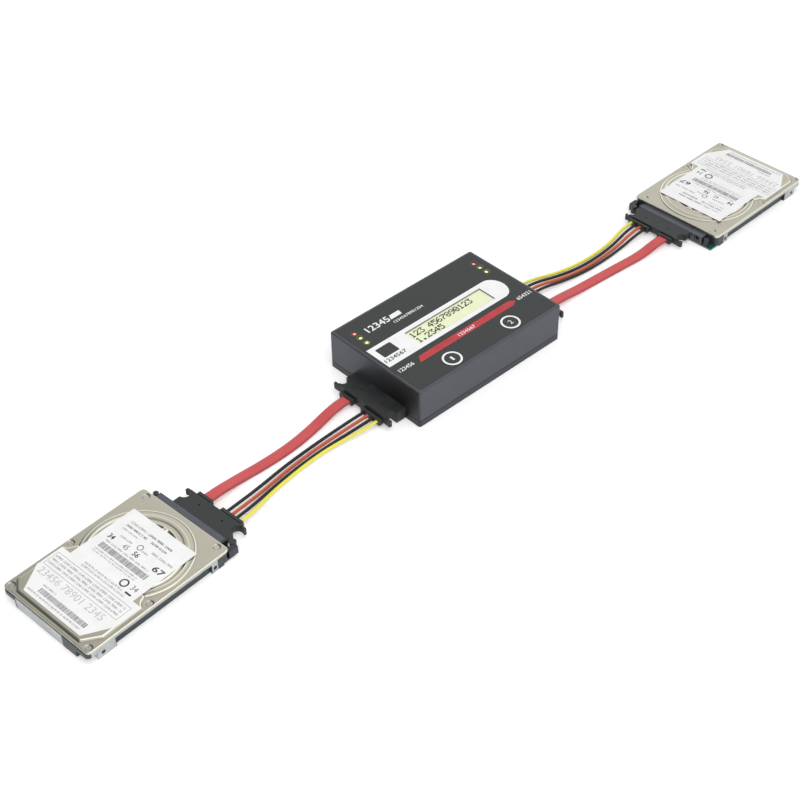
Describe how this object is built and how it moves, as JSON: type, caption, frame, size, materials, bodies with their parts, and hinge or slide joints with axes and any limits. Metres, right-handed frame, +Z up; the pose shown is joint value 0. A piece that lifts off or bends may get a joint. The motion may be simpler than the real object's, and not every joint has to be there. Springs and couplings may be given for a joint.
{
  "type": "drive duplicator",
  "caption": "Pocket drive duplicator: flat box with a two-line display and round keys, joined by data and power cables to a disk drive at each end.",
  "frame": {"origin": "centre of the box's flat underside, on the surface it stands on", "axes": "+X from the source drive to the target drive, along the display's reading direction; +Y to the back of the box; +Z up"},
  "size_m": [0.6119, 0.0927, 0.0267],
  "materials": {
    "case_plastic": "satin dark blue-grey moulded ABS",
    "overlay_film": "matte dark grey polycarbonate film",
    "button_film": "matte dark grey film disc with a pale ring",
    "key_plastic": "natural ABS",
    "lcd_glass": "display glass over a yellow-green light",
    "lcd_light": "milky light guide",
    "bezel_steel": "black painted steel sheet",
    "board_laminate": "green solder mask",
    "chip_black": "moulded epoxy",
    "capacitor_can": "sleeved aluminium",
    "contact_gold": "gold-plated contacts",
    "lead_tin": "tinned wire",
    "red_lamp": "red diffused epoxy",
    "green_lamp": "yellow-green diffused epoxy",
    "connector_black": "black glass-filled nylon",
    "ribbon_red": "red PVC jacket",
    "wire_black": "black PVC insulation",
    "wire_red": "orange-red PVC insulation",
    "wire_yellow": "yellow PVC insulation",
    "cast_aluminium": "die-cast aluminium",
    "lid_steel": "stamped stainless steel",
    "label_paper": "printed white label",
    "screw_steel": "plated steel"
  },
  "bodies": {
    "duplicator": {"bottom_tray": "case_plastic", "top_cover": "case_plastic", "front_overlay": "overlay_film", "tact_switches": "chip_black", "red_leds": "red_lamp", "green_leds": "green_lamp", "led_legs": "lead_tin", "main_board": "board_laminate", "board_chips": "chip_black", "board_capacitors": "capacitor_can", "case_screws": "screw_steel", "board_screws": "screw_steel", "lcd_bezel": "bezel_steel", "lcd_glass": "lcd_glass", "lcd_backlight": "lcd_light", "lcd_board": "board_laminate", "lcd_header": "chip_black", "lcd_screws": "screw_steel", "power_jack": "connector_black", "power_jack_pin": "lead_tin", "socket_contacts": "contact_gold", "source_socket": "connector_black", "target_socket": "connector_black"},
    "left_button": {"left_button_pad": "button_film", "left_button_key": "key_plastic", "left_switch_plunger": "chip_black"},
    "right_button": {"right_button_pad": "button_film", "right_button_key": "key_plastic", "right_switch_plunger": "chip_black"},
    "source_cable": {"source_plug": "connector_black", "source_receptacle": "connector_black", "source_cable_contacts": "contact_gold", "source_data_cable": "ribbon_red", "source_black_wire_1": "wire_black", "source_red_wire": "wire_red", "source_black_wire_2": "wire_black", "source_yellow_wire": "wire_yellow"},
    "source_drive": {"source_drive_base": "cast_aluminium", "source_drive_lid": "lid_steel", "source_drive_label": "label_paper", "source_drive_board": "board_laminate", "source_drive_connector": "connector_black", "source_drive_contacts": "contact_gold", "source_drive_screws": "screw_steel"},
    "target_cable": {"target_plug": "connector_black", "target_receptacle": "connector_black", "target_cable_contacts": "contact_gold", "target_data_cable": "ribbon_red", "target_black_wire_1": "wire_black", "target_red_wire": "wire_red", "target_black_wire_2": "wire_black", "target_yellow_wire": "wire_yellow"},
    "target_drive": {"target_drive_base": "cast_aluminium", "target_drive_lid": "lid_steel", "target_drive_label": "label_paper", "target_drive_board": "board_laminate", "target_drive_connector": "connector_black", "target_drive_contacts": "contact_gold", "target_drive_screws": "screw_steel"}
  },
  "joints": [
    {"name": "left_button_press", "type": "slide", "parent": "duplicator", "child": "left_button", "axis": [0, 0, -1], "range_m": [0, 0.0005], "stiffness_N_per_m": 1500, "springref_m": -0.0002},
    {"name": "right_button_press", "type": "slide", "parent": "duplicator", "child": "right_button", "axis": [0, 0, -1], "range_m": [0, 0.0005], "stiffness_N_per_m": 1500, "springref_m": -0.0002},
    {"name": "source_plug_pull", "type": "slide", "parent": "duplicator", "child": "source_cable", "axis": [-1, 0, 0], "range_m": [0, 0.012]},
    {"name": "source_drive_pull", "type": "slide", "parent": "source_cable", "child": "source_drive", "axis": [-0.9968, -0.0802, 0], "range_m": [0, 0.012]},
    {"name": "target_plug_pull", "type": "slide", "parent": "duplicator", "child": "target_cable", "axis": [1, 0, 0], "range_m": [0, 0.012]},
    {"name": "target_drive_pull", "type": "slide", "parent": "target_cable", "child": "target_drive", "axis": [0.9996, 0.0297, 0], "range_m": [0, 0.012]}
  ]
}
